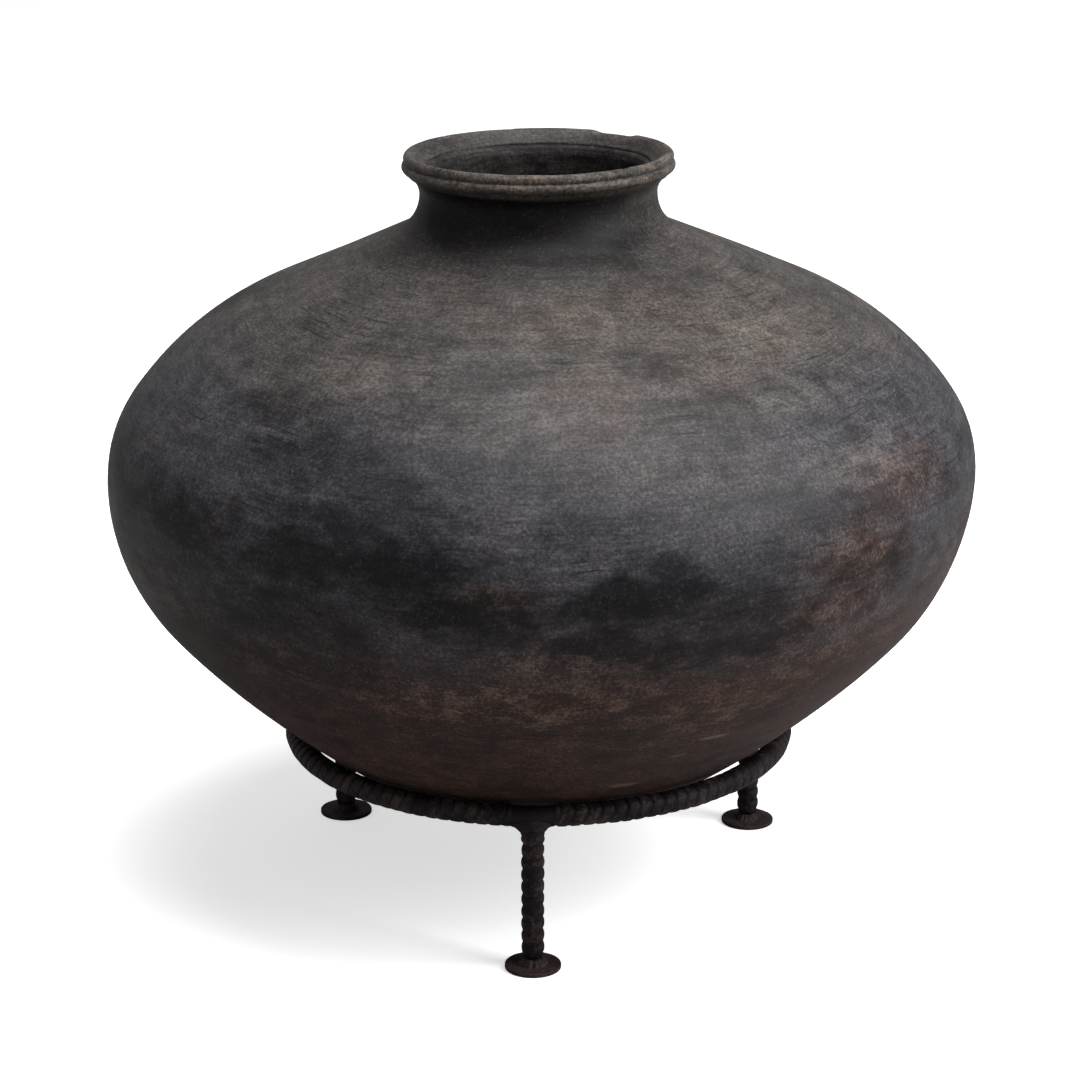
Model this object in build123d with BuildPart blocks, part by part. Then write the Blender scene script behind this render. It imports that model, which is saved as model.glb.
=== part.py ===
from build123d import *

import os
from math import atan2, cos, degrees, floor, radians, sin, sqrt

# A big round-bottomed clay pot that rests, by its own weight, in a low three-legged stand. The stand is
# one ring of ribbed steel bar on three legs of the same bar, each welded into a flat washer as its foot.
# Millimetres, +Z up. The origin is on the floor, on the axis of the ring and of the pot, and -Y is the front.

# ---- the ribbed bar, which the ring and the legs are made of
bar_core_radius = 6.45  # between the ribs
rib_height = 0.9
rib_pitch = 8.1  # from one rib to the next along the bar
rib_groove = 2.5  # left between two ribs

# ---- the ring
ring_radius = 157.9  # to the middle of the bar
ring_height = 99.4  # the middle of the bar above the floor
butt_angle = 86.0  # where the two ends of the bent bar meet, behind the pot
butt_gap = 2.0  # between those two ends, filled with weld
butt_weld_length = 7.0
butt_weld_sink = 0.0  # of the bead's crown below the tops of the ribs that the pot rests on

# ---- the legs, set by eye and so not quite a third of a turn apart
leg_angles = {"front": -91.2, "right": 28.0, "left": 145.0}
leg_outset = 3.6  # the legs stand this far outside the middle of the ring's bar
root_gap = 1.5  # between a leg's top and the ring, filled with weld
leg_weld_fillet = 9.0  # radius of the hollow where a leg's weld flares out along the ring
leg_weld_inset = 0.7  # the weld is this much flatter than the bar on each side
weld_seam = 0.12  # left between a leg's weld and the round bars it is shaped to

# ---- the feet: flat washers for a half-inch bolt
washer_radius = 17.5
washer_thickness = 2.8
washer_clearance = 0.7  # between the bar and the washer's hole
washer_edge = 0.6
foot_weld_width = 2.6  # of the bead on the washer, beyond the hole
foot_weld_height = 4.0
foot_weld_recess = 0.4  # the weld in the washer's hole stops this far above the floor

# ---- the pot, as tangent arcs on either side of its widest girth
belly_radius = 275.0
wall = 8.5
above_belly = (78.0, 35.0)  # radius and turn of the arc above the girth
shoulder = (190.0, 31.0)
neck_radius = 27.0  # of the hollow where the shoulder turns up into the neck
waist_radius = 74.5  # the neck at its narrowest, outside
below_belly = (140.0, 40.5)
flank = (540.0, 15.5)
seat_clearance = 0.3  # between the pot and the ribs of the ring it rests on

# ---- the lip, measured up from the waist
flare_radius = 14.0
flare_turn = 60.0
bead_radius = 3.5
bead_rise = 16.6
bead_overhang = 11.1  # of the lower bead, the widest of the lip, beyond the waist
lip_bead_radius = 3.4
lip_rise = 22.3
lip_overhang = 10.0  # of the upper bead beyond the waist
lip_inner_angle = 120.0  # where the mouth's funnel leaves the upper bead
throat_ledge = 1.2  # the mouth's narrowest stands in this far from the neck's inside
throat_length = 5.0
throat_rise = 10.8  # of the throat's lower edge
throat_undercut = 1.5  # height of the sloping face under the throat's edge


# ---------------------------------------------------------------- sizes that follow from those above


leg_circle = ring_radius + leg_outset


def on_ring(angle, radius=ring_radius):
    """The point at that radius from the axis, at that angle, as x and y."""
    return radius * cos(radians(angle)), radius * sin(radians(angle))


rib_length = rib_pitch - rib_groove
bar_radius = bar_core_radius + rib_height  # over the ribs
washer_hole_radius = bar_core_radius + washer_clearance
leg_weld_thickness = 2 * (bar_core_radius - leg_weld_inset)
throat_radius = waist_radius - wall - throat_ledge

# Each end of the wall's outline leans this far from upright.
slope_turn = above_belly[1] + shoulder[1]
base_turn = below_belly[1] + flank[1]

# The straight stretch of the shoulder takes up what the arcs leave between the belly and the waist.
shoulder_end_radius = (
    belly_radius
    - above_belly[0] * (1 - cos(radians(above_belly[1])))
    - shoulder[0] * (cos(radians(above_belly[1])) - cos(radians(slope_turn)))
)
neck_reach = neck_radius * (1 - cos(radians(slope_turn)))
slope_length = (shoulder_end_radius - neck_reach - waist_radius) / sin(radians(slope_turn))

# Centres of the two arcs below the girth, from the girth's own height, and the base's one, on the axis.
below_belly_centre = (belly_radius - below_belly[0], 0.0)
flank_centre = (
    below_belly_centre[0] + (below_belly[0] - flank[0]) * cos(radians(below_belly[1])),
    below_belly_centre[1] - (below_belly[0] - flank[0]) * sin(radians(below_belly[1])),
)
base_radius = (flank_centre[0] + flank[0] * cos(radians(base_turn))) / cos(radians(base_turn))
base_centre = (0.0, flank_centre[1] + (base_radius - flank[0]) * sin(radians(base_turn)))


def seat_depth():
    """How far the ring's middle lies below the girth when the pot rests on the ring's ribs.

    The ring touches the arc whose own span, seen from its centre, holds the touching point."""
    arcs = (
        (below_belly_centre, below_belly[0], 0, below_belly[1]),
        (flank_centre, flank[0], below_belly[1], base_turn),
        (base_centre, base_radius, base_turn, 90),
    )
    reach = bar_radius + seat_clearance
    for (x, z), radius, low, high in arcs:
        across = ring_radius - x
        down = sqrt((radius + reach) ** 2 - across**2)
        if low <= degrees(atan2(down, across)) <= high:
            return down - z
    raise ValueError("the pot doesn't rest on this ring")


girth_height = ring_height + seat_depth()
leg_height = ring_height - bar_core_radius - root_gap
# The web of a leg's weld, seen along the ring's radius.
leg_weld_half_width = bar_core_radius + leg_weld_fillet
leg_weld_bottom = leg_height - leg_weld_fillet + root_gap
foot_weld_top = washer_thickness + foot_weld_height


# ---------------------------------------------------------------- the stand


def ring_stretch(tube_radius, start, sweep):
    """A stretch of a bar of that radius, bent to the ring, from one angle on through the sweep."""
    x_dir = on_ring(start, 1.0)
    with BuildPart() as stretch:
        with BuildSketch(Plane(origin=(0, 0, 0), x_dir=(*x_dir, 0), z_dir=(x_dir[1], -x_dir[0], 0))):
            with Locations((ring_radius, ring_height)):
                Circle(tube_radius)
        revolve(axis=Axis.Z, revolution_arc=sweep)
    return stretch.part


def along_ring(length):
    """The angle that a length along the ring's middle turns through."""
    return degrees(length / ring_radius)


def rib_angles():
    """Where the ring's ribs are: evenly spaced in each span between two welds, with none under a weld."""
    welds = sorted([(angle % 360, leg_weld_half_width) for angle in leg_angles.values()] + [
        (butt_angle % 360, butt_weld_length / 2)
    ])
    found = []
    for (angle, half), (next_angle, next_half) in zip(welds, welds[1:] + welds[:1]):
        start = angle + along_ring(half)
        span = (next_angle - angle) % 360 - along_ring(half + next_half)
        count = floor(span / along_ring(rib_pitch))
        found += [start + span * (i + 0.5) / count for i in range(count)]
    return found


# The bar as it comes along the ring: a plain stretch, a rib, a plain stretch and so on, end to end.
end_gap = along_ring(butt_gap)
rib_sweep = along_ring(rib_length)
ring_start, ring_end = butt_angle + end_gap / 2, butt_angle - end_gap / 2 + 360
rib_starts = sorted((angle - ring_start) % 360 + ring_start - rib_sweep / 2 for angle in rib_angles())
plain_starts = [ring_start] + [start + rib_sweep for start in rib_starts]
with BuildPart() as ring:
    stretches = [ring_stretch(bar_radius, start, rib_sweep) for start in rib_starts]
    for start, end in zip(plain_starts, rib_starts + [ring_end]):
        stretches.append(ring_stretch(bar_core_radius, start, end - start))
    add(stretches)

# The bead over the ring's two ends, with the plug of weld between them.
with BuildPart() as ring_butt_weld:
    bead_sweep = along_ring(butt_weld_length)
    add(ring_stretch(bar_radius - butt_weld_sink, butt_angle - bead_sweep / 2, bead_sweep))
    bead_rims = ring_butt_weld.edges().filter_by(GeomType.CIRCLE).group_by(SortBy.RADIUS)[0]
    chamfer(bead_rims, (rib_height - butt_weld_sink) * 0.6)
    for side in (-1, 1):
        end_sweep = bead_sweep / 2 - end_gap / 2 + 1
        start = butt_angle + end_gap / 2 if side > 0 else butt_angle - end_gap / 2 - end_sweep
        add(ring_stretch(bar_core_radius, start, end_sweep), mode=Mode.SUBTRACT)
ring_butt_weld.part.label = "ring_butt_weld"


def make_leg(angle):
    """A straight piece of the bar, ribbed between its two welds and flush with the foot's underside."""
    ribbed = leg_weld_bottom - foot_weld_top
    count = floor(ribbed / rib_pitch)
    with BuildPart() as leg:
        with BuildSketch(Plane.XY):
            with Locations(on_ring(angle, leg_circle)):
                Circle(bar_core_radius)
        extrude(amount=leg_height)
        for i in range(count):
            middle = foot_weld_top + ribbed * (i + 0.5) / count
            with BuildSketch(Plane.XY.offset(middle - rib_length / 2)):
                with Locations(on_ring(angle, leg_circle)):
                    Circle(bar_radius)
            extrude(amount=rib_length)
    return leg


def make_foot(angle):
    """A flat washer with its outer edges eased. The leg stands in its hole."""
    with BuildPart() as foot:
        with BuildSketch(Plane.XY):
            with Locations(on_ring(angle, leg_circle)):
                Circle(washer_radius)
                Circle(washer_hole_radius, mode=Mode.SUBTRACT)
        extrude(amount=washer_thickness)
        rims = foot.edges().filter_by(GeomType.CIRCLE).filter_by(lambda e: e.radius > washer_hole_radius + 1)
        fillet(rims.sort_by(Axis.Z)[-1], washer_edge)
    return foot


def make_foot_weld(angle):
    """The bead round a leg's base: a hollow fillet on the washer that also fills the gap in its hole."""
    x_dir = on_ring(angle, 1.0)
    origin = (*on_ring(angle, leg_circle), 0)
    middle = Plane(origin=origin, x_dir=(*x_dir, 0), z_dir=(x_dir[1], -x_dir[0], 0))
    bead_edge = washer_hole_radius + foot_weld_width
    with BuildPart() as weld:
        with BuildSketch(middle):
            with BuildLine():
                Polyline(
                    (bar_core_radius, foot_weld_top),
                    (bar_core_radius, foot_weld_recess),
                    (washer_hole_radius, foot_weld_recess),
                    (washer_hole_radius, washer_thickness),
                    (bead_edge, washer_thickness),
                )
                SagittaArc((bead_edge, washer_thickness), (bar_core_radius, foot_weld_top), foot_weld_width / 5)
            make_face()
        revolve(axis=Axis(middle.origin, (0, 0, 1)))
    return weld


def make_leg_weld(angle):
    """The web of weld that carries a leg on the ring: it flares out along the ring on both sides."""
    radial = on_ring(angle, 1.0)
    side_view = Plane(origin=(*on_ring(angle), 0), x_dir=(-radial[1], radial[0], 0), z_dir=(*radial, 0))
    top = ring_height
    with BuildPart() as weld:
        with BuildSketch(side_view):
            with BuildLine():
                outer = [(side * leg_weld_half_width, leg_height + root_gap) for side in (-1, 1)]
                foot = [(side * bar_core_radius, leg_weld_bottom) for side in (-1, 1)]
                Polyline(outer[0], (outer[0][0], top), (outer[1][0], top), outer[1])
                Line(foot[0], foot[1])
                for side in (-1, 1):
                    centre = (side * leg_weld_half_width, leg_weld_bottom)
                    CenterArc(centre, leg_weld_fillet, 90 if side > 0 else 0, 90)
            make_face()
        extrude(amount=leg_weld_thickness / 2, both=True)
        with BuildSketch(Plane.XY):
            with Locations(on_ring(angle, leg_circle)):
                Circle(bar_core_radius + weld_seam)
        extrude(amount=leg_height, mode=Mode.SUBTRACT)
        reach = along_ring(leg_weld_half_width * 2.4)
        add(ring_stretch(bar_core_radius + weld_seam, angle - reach / 2, reach), mode=Mode.SUBTRACT)
    return weld


parts = {"ring": ring, "ring_butt_weld": ring_butt_weld}
for place, leg_angle in leg_angles.items():
    parts[f"leg_{place}"] = make_leg(leg_angle)
    parts[f"foot_washer_{place}"] = make_foot(leg_angle)
    parts[f"leg_weld_{place}"] = make_leg_weld(leg_angle)
    parts[f"foot_weld_{place}"] = make_foot_weld(leg_angle)


# ---------------------------------------------------------------- the pot


def wall_line(inset):
    """Draws the wall's outline from the middle of the base up to the waist, moved into the clay by inset."""
    girth = (belly_radius - inset, girth_height)
    under = JernArc(girth, (0, -1), below_belly[0] - inset, -below_belly[1])
    side = JernArc(under @ 1, under % 1, flank[0] - inset, -flank[1])
    JernArc(side @ 1, side % 1, base_radius - inset, base_turn - 90)
    over = JernArc(girth, (0, 1), above_belly[0] - inset, above_belly[1])
    round_shoulder = JernArc(over @ 1, over % 1, shoulder[0] - inset, shoulder[1])
    slope = Line(round_shoulder @ 1, round_shoulder @ 1 + (round_shoulder % 1) * slope_length)
    return JernArc(slope @ 1, slope % 1, neck_radius + inset, -slope_turn)


with BuildPart() as pot:
    with BuildSketch(Plane.XZ):
        with BuildLine():
            outer_neck = wall_line(0)
            inner_neck = wall_line(wall)
            waist = outer_neck @ 1
            flare = JernArc(waist, (0, 1), flare_radius, -flare_turn)
            bead_centre = (waist_radius + bead_overhang - bead_radius, waist.Y + bead_rise)
            lip_centre = (waist_radius + lip_overhang - lip_bead_radius, waist.Y + lip_rise)
            funnel_top = (
                lip_centre[0] + lip_bead_radius * cos(radians(lip_inner_angle)),
                lip_centre[1] + lip_bead_radius * sin(radians(lip_inner_angle)),
            )
            throat_foot = waist.Y + throat_rise
            Polyline(
                flare @ 1,
                bead_centre,
                lip_centre,
                funnel_top,
                (throat_radius, throat_foot + throat_length),
                (throat_radius, throat_foot),
                (waist_radius - wall, throat_foot - throat_undercut),
                inner_neck @ 1,
            )
            base_bottom = girth_height + base_centre[1] - base_radius
            Line((0, base_bottom), (0, base_bottom + wall))
        make_face()
        with Locations(bead_centre):
            Circle(bead_radius)
        with Locations(lip_centre):
            Circle(lip_bead_radius)
    revolve(axis=Axis.Z)
parts["pot"] = pot

print(f"girth at {girth_height:.2f}, base at {base_bottom:.2f}, top of the lip at {lip_centre[1] + lip_bead_radius:.2f}")
print(f"throat from {throat_foot:.2f} to {throat_foot + throat_length:.2f}, slope {slope_length:.2f}")

os.makedirs("parts", exist_ok=True)
for name, built in parts.items():
    built.part.label = name
    export_step(built.part, f"parts/{name}.step")
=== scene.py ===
"""A big smoked clay pot in its stand of ribbed bar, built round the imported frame."""

from functools import partialmethod
from itertools import accumulate
from math import atan2, ceil, cos, hypot, pi, radians, sin

import bmesh
import bpy
import numpy
from bpy.props import FloatProperty, FloatVectorProperty, IntProperty, PointerProperty
from mathutils import Euler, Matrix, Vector, noise


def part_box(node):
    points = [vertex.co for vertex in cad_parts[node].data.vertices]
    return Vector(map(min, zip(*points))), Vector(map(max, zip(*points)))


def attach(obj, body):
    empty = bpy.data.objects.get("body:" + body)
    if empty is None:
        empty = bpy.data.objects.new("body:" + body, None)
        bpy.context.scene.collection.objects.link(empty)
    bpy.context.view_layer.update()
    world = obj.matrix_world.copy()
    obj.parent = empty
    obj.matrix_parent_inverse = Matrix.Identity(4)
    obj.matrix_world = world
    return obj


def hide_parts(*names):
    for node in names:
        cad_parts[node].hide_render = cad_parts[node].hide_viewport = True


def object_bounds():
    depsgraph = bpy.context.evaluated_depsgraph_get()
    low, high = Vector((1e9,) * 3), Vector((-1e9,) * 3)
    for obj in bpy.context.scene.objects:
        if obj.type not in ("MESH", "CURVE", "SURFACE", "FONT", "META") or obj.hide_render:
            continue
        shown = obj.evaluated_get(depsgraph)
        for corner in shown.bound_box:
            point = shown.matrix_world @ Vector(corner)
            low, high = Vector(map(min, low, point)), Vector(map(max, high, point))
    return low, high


bl_info = {
    "name": "Clay pot on a ring stand",
    "version": (1, 0, 0),
    "blender": (4, 5, 0),
    "location": "3D View > Sidebar > Clay Pot",
    "description": "Builds a smoked clay pot and its welded stand of ribbed bar",
    "category": "Add Mesh",
}

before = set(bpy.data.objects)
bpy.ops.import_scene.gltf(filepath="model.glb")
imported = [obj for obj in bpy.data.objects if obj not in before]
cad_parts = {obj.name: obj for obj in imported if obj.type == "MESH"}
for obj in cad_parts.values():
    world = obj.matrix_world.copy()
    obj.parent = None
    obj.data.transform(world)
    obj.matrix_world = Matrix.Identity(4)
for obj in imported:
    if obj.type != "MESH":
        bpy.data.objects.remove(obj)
CAD_BOX = [list(corner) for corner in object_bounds()]

PLACES = ("front", "right", "left")
BUTT_ANGLE = 86.0  # where the ring's two ends are welded together, in degrees
LONG_CHIP_ANGLE = 52.0  # where the lip's longest chip is, in degrees
SOOT_AND_SHADE_SIDE = -104.0  # the side of the neck darkened most, by smoke and by painted shadow under the lip, in degrees
WORN_SIDE = -62.0  # the side of the lip that is worn most, in degrees
RIM_HIGH_SIDE = (0.55, -0.83, 0)  # the direction that the rim rises towards
SEAM_DISTANCE = 2e-5  # points nearer than this are one
RING_CORNERS = 240  # of the path that the ring's bar follows
FLOOR_REACH = 12.0
WHITE = (1.0, 1.0, 1.0, 1.0)


# ---------------------------------------------------------------- what the frame says


def node_middle(node):
    """The middle of a CAD node's box."""
    low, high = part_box(node)
    return (low + high) / 2


def node_size(node):
    """The three sides of a CAD node's box."""
    low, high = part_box(node)
    return high - low


RIB_TOP_RADIUS = node_size("ring").z / 2
RING_HEIGHT = node_middle("ring").z
RING_RADIUS = node_size("ring").x / 2 - RIB_TOP_RADIUS
LEG_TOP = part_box("leg_front")[1].z
WASHER_RADIUS = node_size("foot_washer_front").x / 2
WASHER_THICKNESS = node_size("foot_washer_front").z
BELLY_RADIUS = (CAD_BOX[1][0] - CAD_BOX[0][0]) / 2
LIP_TOP = CAD_BOX[1][2]
POT_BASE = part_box("pot")[0].z


def leg_foot(place):
    """Where a leg stands on the floor."""
    middle = node_middle(f"leg_{place}")
    return Vector((middle.x, middle.y, 0))


def leg_angle(place):
    """The direction of a leg from the ring's axis, in radians."""
    foot = leg_foot(place)
    return atan2(foot.y, foot.x)


# ---------------------------------------------------------------- sizes and colours


def number(name, default, description, **more):
    """A property that holds a number."""
    return FloatProperty(name=name, default=default, description=description, **more)


def length(name, default, description):
    """A property that holds a length in metres."""
    return number(name, default, description, unit="LENGTH", precision=4)


def turn(name, default, description):
    """A property that holds an angle, given here in degrees."""
    return number(name, radians(default), description, subtype="ANGLE")


def share(name, default, description):
    """A property that holds a number from 0 to 1."""
    return number(name, default, description, min=0, max=1, subtype="FACTOR")


def colour(name, default, description):
    """A property that holds a colour."""
    return FloatVectorProperty(
        name=name, default=default, description=description, min=0, max=1, subtype="COLOR"
    )


class PotSizes(bpy.types.PropertyGroup):
    """The pot's outline, as tangent arcs on either side of its widest girth."""

    belly_radius: length("Belly radius", BELLY_RADIUS, "Outside radius at the widest girth")
    base_height: length("Base height", POT_BASE, "Height of the rounded base above the floor")
    wall: length("Wall", 0.0085, "Thickness of the clay")
    above_radius: length("Arc above the girth", 0.078, "Radius of the arc just above the girth")
    above_turn: turn("Turn above the girth", 35.0, "Turn of the arc just above the girth")
    shoulder_radius: length("Shoulder arc", 0.190, "Radius of the shoulder's arc")
    shoulder_turn: turn("Shoulder turn", 31.0, "Turn of the shoulder's arc")
    neck_radius: length("Neck hollow", 0.027, "Radius of the hollow between shoulder and neck")
    waist_radius: length("Waist radius", 0.0745, "Outside radius of the neck at its narrowest")
    below_radius: length("Arc below the girth", 0.140, "Radius of the arc just below the girth")
    below_turn: turn("Turn below the girth", 40.5, "Turn of the arc just below the girth")
    flank_radius: length("Flank arc", 0.540, "Radius of the flank's long arc")
    flank_turn: turn("Flank turn", 15.5, "Turn of the flank's long arc")
    flare_radius: length("Flare arc", 0.014, "Radius of the flare above the waist")
    flare_turn: turn("Flare turn", 60.0, "Turn of the flare above the waist")
    bead_radius: length("Lower bead", 0.0032, "Section radius of the lip's lower bead")
    bead_rise: length("Lower bead's rise", 0.0172, "Height of the lower bead above the waist")
    bead_overhang: length("Lower bead's overhang", 0.0111, "Reach of the lower bead past the waist")
    lip_radius: length("Upper bead", 0.0032, "Section radius of the lip's upper bead")
    lip_rise: length("Upper bead's rise", 0.0225, "Height of the upper bead above the waist")
    lip_overhang: length("Upper bead's overhang", 0.0100, "Reach of the upper bead past the waist")
    throat_radius: length("Throat radius", 0.0656, "Radius of the mouth at its narrowest")
    throat_rise: length("Throat's rise", 0.0108, "Height of the throat's lower edge over the waist")
    throat_length: length("Throat length", 0.005, "Length of the throat")
    segments: IntProperty(
        name="Segments", default=360, min=24, max=400, description="Faces round the pot"
    )


class PotMaking(bpy.types.PropertyGroup):
    """What the hand and the wheel left in the clay."""

    wobble: length("Wobble", 0.0022, "How far the wall swings in and out of round")
    wobble_size: length("Wobble size", 0.33, "Size of one swing of the wall")
    dent: length("Dents", 0.0004, "Depth of the flats left by the burnishing stone")
    wheel_mark: length("Wheel marks", 0.00014, "Depth of the rings left by turning")
    rim_lean: length("Rim lean", 0.0016, "How far the rim rises towards the front right")
    rim_wave: length("Rim wave", 0.0006, "How uneven the lip is")
    chip: length("Chips", 0.0016, "Depth of the chips in the lip")
    still_below: length("Even below", 0.122, "Under this height the wall stays true, on its seat")
    drift: length("Shoulder drift", 0.0045, "How far the shoulder leans to the right")
    squeeze: length("Seat squeeze", 0.0026, "How much slimmer the foot is across than deep")
    seed: number("Seed", 4.0, "Picks one set of irregularities")


class BarSizes(bpy.types.PropertyGroup):
    """The ribbed bar of the ring and the legs."""

    rib: length("Rib height", 0.0013, "Height of the ribs above the core")
    pitch: length("Rib pitch", 0.0081, "From one rib to the next along the bar")
    bow: length("Rib bow", 0.0011, "How far a rib bows along the bar")
    slant: length("Rib slant", 0.0012, "How far a rib leans along the bar")
    spine: length("Spine width", 0.0026, "Width of the bar's two lengthwise ribs")
    step: length("Step", 0.00075, "Length of one face along the bar")
    around: IntProperty(name="Around", default=40, min=8, description="Faces round the bar")
    seed: number("Seed", 2.0, "Picks one set of rolling marks")


class WeldSizes(bpy.types.PropertyGroup):
    """The welds of the stand."""

    reach: length("Reach", 0.0165, "How far a leg's weld flares out along the ring")
    drop: length("Drop", 0.0085, "How far a leg's weld runs down the leg")
    collar: length("Collar", 0.0011, "Height of the last pass round the leg")
    ripple: length("Ripple", 0.0003, "Unevenness of the weld metal")
    foot_width: length("Foot bead width", 0.0028, "Width of the bead on a washer")
    foot_height: length("Foot bead height", 0.0040, "Height of the bead up a leg")


class WasherSizes(bpy.types.PropertyGroup):
    """The washers used as feet."""

    hole: length("Hole radius", 0.00715, "Radius of the washer's hole")
    edge: length("Eased edge", 0.0006, "Rounding of the washer's edges")
    dish: length("Dish", 0.0003, "How far a washer falls away towards its edge")


class ClayFinish(bpy.types.PropertyGroup):
    """Colours of the smoked clay."""

    warm: colour("Warm grey", (0.043, 0.039, 0.0365), "Clay that the fire left warm")
    cool: colour("Cool grey", (0.0335, 0.0325, 0.0370), "Clay that the smoke left cool")
    # Pale clay, which also stands in for the painted highlight on the shoulder.
    dusty_and_highlight: colour("Dusty grey", (0.082, 0.072, 0.064), "The palest clay, high on the shoulder")
    brown: colour("Red brown", (0.036, 0.0175, 0.0132), "Clay low on the pot, where air got in")
    # Soot black is also the colour of the painted shade on the neck, the base and the funnel.
    soot: colour("Soot", (0.0026, 0.0018, 0.0028), "The blackest smoke stains")
    tan: colour("Tan", (0.185, 0.135, 0.105), "Bare clay in specks and worn edges")
    shine: share("Roughness", 0.50, "Roughness of burnished clay")


class IronFinish(bpy.types.PropertyGroup):
    """Colours of the rusted bar, washers and welds."""

    scale: colour("Mill scale", (0.0040, 0.0026, 0.0035), "Dark skin of hot-rolled bar")
    rust: colour("Rust", (0.018, 0.0098, 0.0102), "Brown rust")
    # Pale rust, which also stands in for the painted highlight on the high spots.
    pale: colour("Pale rust", (0.068, 0.045, 0.041), "Dusty rust on the high spots")


class StageSettings(bpy.types.PropertyGroup):
    """Camera, floor and lights."""

    camera_distance: length("Camera distance", 2.137, "From the pot's axis, level")
    camera_height: length("Camera height", 0.908, "Above the floor")
    camera_pitch: turn("Camera pitch", 17.71, "How far the camera looks down")
    lens: number("Lens", 116.2, "Focal length in mm on a 36 mm frame")
    key: number("Key light", 78.0, "Power of the key light, W")
    fill: number("Fill light", 4.0, "Power of the fill light, W")
    top: number("Top light", 84.0, "Power of the top light, W")
    sky: share("Surround", 0.30, "Strength of the pale room's light")
    floor_bounce: share("Floor bounce", 0.42, "How much light the floor sends up at the pot")
    floor_glow: share("Floor glow", 0.55, "How much brighter the floor looks to the camera")


# ---------------------------------------------------------------- building node trees


class Tree:
    """Adds nodes to a node tree. Each method returns the new node's main output."""

    def __init__(self, tree):
        self.tree = tree

    def node(self, kind, inputs=None, **settings):
        """A node with its settings made and its inputs linked, or set to plain values."""
        made = self.tree.nodes.new(kind)
        for name, value in settings.items():
            setattr(made, name, value)
        for key, value in (inputs or {}).items():
            self.feed(made.inputs[key], value)
        return made

    def feed(self, socket, value):
        """Links a socket, or sets it to a plain value."""
        if isinstance(value, bpy.types.NodeSocket):
            self.tree.links.new(value, socket)
        else:
            socket.default_value = value

    def math(self, operation, *values):
        return self.node("ShaderNodeMath", dict(enumerate(values)), operation=operation).outputs[0]

    def folded(self, operation, *values):
        """The values taken together one after another."""
        total, *rest = values
        for value in rest:
            total = self.math(operation, total, value)
        return total

    add = partialmethod(folded, "ADD")
    sub = partialmethod(folded, "SUBTRACT")
    mul = partialmethod(folded, "MULTIPLY")
    div = partialmethod(folded, "DIVIDE")
    peak = partialmethod(folded, "MAXIMUM")

    def vector(self, operation, *values):
        made = self.node("ShaderNodeVectorMath", dict(enumerate(values)), operation=operation)
        return made.outputs["Value" if operation in ("LENGTH", "DOT_PRODUCT") else "Vector"]

    def scaled(self, vector, factor):
        made = self.node("ShaderNodeVectorMath", {0: vector, "Scale": factor}, operation="SCALE")
        return made.outputs["Vector"]

    def split(self, vector):
        return self.node("ShaderNodeSeparateXYZ", {0: vector}).outputs

    def joined(self, x, y, z):
        return self.node("ShaderNodeCombineXYZ", {0: x, 1: y, 2: z}).outputs[0]

    def ramp(self, value, low, high, to_low=0.0, to_high=1.0):
        """The value taken smoothly from one range to another."""
        inputs = {"Value": value, 1: low, 2: high, 3: to_low, 4: to_high}
        return self.node("ShaderNodeMapRange", inputs, interpolation_type="SMOOTHSTEP").outputs[0]

    def noise(self, vector, scale, detail=2.0, rough=0.5, warp=0.0):
        inputs = {"Vector": vector, "Scale": scale, "Detail": detail}
        inputs.update({"Roughness": rough, "Distortion": warp})
        return self.node("ShaderNodeTexNoise", inputs).outputs[0]

    def centred(self, value, strength):
        """Noise taken to swing that far either side of nought."""
        return self.mul(self.sub(value, 0.5), self.mul(strength, 2.0))

    def cells(self, vector, scale, feature="F1"):
        inputs = {"Vector": vector, "Scale": scale}
        return self.node("ShaderNodeTexVoronoi", inputs, feature=feature).outputs["Distance"]

    def mixed(self, factor, first, second, blend="MIX"):
        """Two colours mixed by a factor."""
        inputs = {0: factor, 6: first, 7: second}
        return self.node("ShaderNodeMix", inputs, data_type="RGBA", blend_type=blend).outputs[2]

    def stored(self, geometry, label, value, kind="FLOAT"):
        """The geometry with a value stored at each of its points."""
        inputs = {"Geometry": geometry, "Name": label, "Value": value}
        settings = {"data_type": kind, "domain": "POINT"}
        return self.node("GeometryNodeStoreNamedAttribute", inputs, **settings).outputs[0]

    def recalled(self, label, kind="FLOAT"):
        """The value that the points have under that name."""
        inputs = {"Name": label}
        return self.node("GeometryNodeInputNamedAttribute", inputs, data_type=kind).outputs[0]


FLOAT, INT, VECTOR, COLOUR, GEOMETRY, MATERIAL, OBJECT = (
    f"NodeSocket{kind}"
    for kind in ("Float", "Int", "Vector", "Color", "Geometry", "Material", "Object")
)


def new_group(name, kind, inputs, outputs):
    """An empty node group with sockets of each kind: its builder, its inputs, its output node."""
    group = bpy.data.node_groups.new(name, f"{kind}NodeTree")
    for way, sockets in (("INPUT", inputs), ("OUTPUT", outputs)):
        for socket_kind, labels in sockets.items():
            for label in labels:
                group.interface.new_socket(label, in_out=way, socket_type=socket_kind)
    tree = Tree(group)
    return tree, tree.node("NodeGroupInput").outputs, tree.node("NodeGroupOutput")


def geometry_group(name, inputs):
    """A geometry tree. Its first input is the geometry it starts from, its last its material."""
    inputs = {**inputs, MATERIAL: ["Material"]}
    return new_group(name, "Geometry", inputs, {GEOMETRY: ["Geometry"]})


def finished(tree, geometry, given, out):
    """The end of every geometry tree: smooth shading, real mesh, its material."""
    smooth = tree.node("GeometryNodeSetShadeSmooth", {"Geometry": geometry})
    real = tree.node("GeometryNodeRealizeInstances", {"Geometry": smooth.outputs[0]})
    inputs = {"Geometry": real.outputs[0], "Material": given["Material"]}
    painted = tree.node("GeometryNodeSetMaterial", inputs)
    tree.feed(out.inputs["Geometry"], painted.outputs[0])
    return tree.tree


# ---------------------------------------------------------------- geometry trees


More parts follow.
